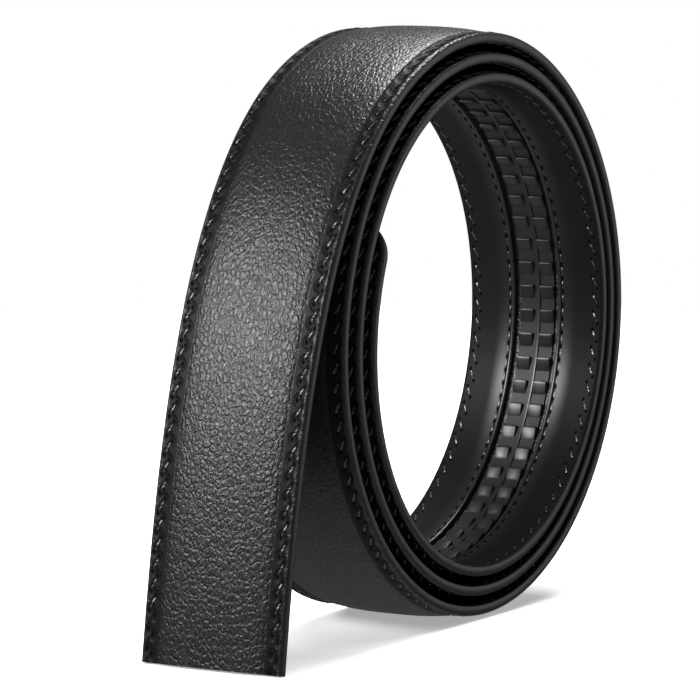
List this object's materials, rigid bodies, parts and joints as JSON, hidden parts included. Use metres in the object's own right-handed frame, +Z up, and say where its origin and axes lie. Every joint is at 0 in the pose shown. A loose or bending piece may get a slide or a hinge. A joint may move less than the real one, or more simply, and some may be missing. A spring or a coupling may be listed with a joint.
{
  "type": "ratchet belt strap",
  "caption": "Rolled leather strap of a ratchet belt with a padded grain face, a rounded tongue and a toothed track in its lining.",
  "frame": {"origin": "on the floor under the middle of the rolled belt's bounding box", "axes": "+X along the coil's rolling direction, from the hanging free end to the coil; +Y across the strap's width, along the coil's axis; +Z up"},
  "size_m": [0.155, 0.035, 0.133],
  "materials": {
    "face_leather": "black pebbled grain with a satin sheen and smooth painted edges",
    "lining_leather": "smooth black lining, soft satin",
    "track_plastic": "moulded black plastic, low gloss"
  },
  "bodies": {
    "root": {"face_leather": "face_leather", "lining": "lining_leather", "ratchet_track": "track_plastic"}
  },
  "joints": []
}
